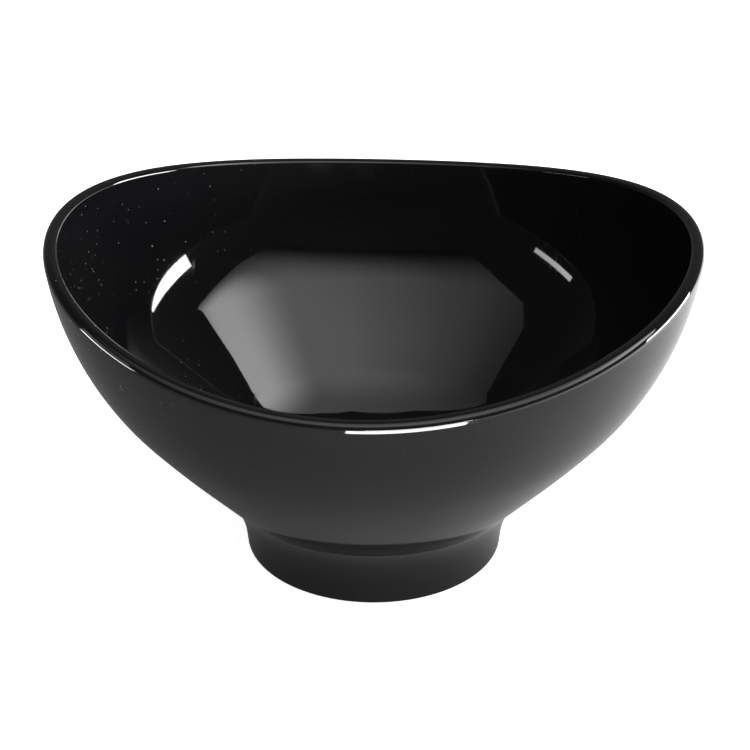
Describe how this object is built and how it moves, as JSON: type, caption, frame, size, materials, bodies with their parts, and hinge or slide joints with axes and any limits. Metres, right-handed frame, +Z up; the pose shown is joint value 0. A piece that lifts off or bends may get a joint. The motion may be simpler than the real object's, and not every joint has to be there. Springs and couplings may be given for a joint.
{
  "type": "hair color bowl",
  "caption": "Round footed bowl for mixing hair colour, with a saddle-shaped lip that dips at the front and back and rises at both ends.",
  "frame": {"origin": "on the bowl's axis, in the plane that the ring foot rests on", "axes": "+Z up along the bowl's axis; X runs through the two high ends of the lip and Y through its two low sides; the low side at -Y faces the camera"},
  "size_m": [0.16, 0.1556, 0.0874],
  "materials": {
    "bowl_gloss": "polished black moulding"
  },
  "bodies": {
    "root": {"bowl": "bowl_gloss"}
  },
  "joints": []
}
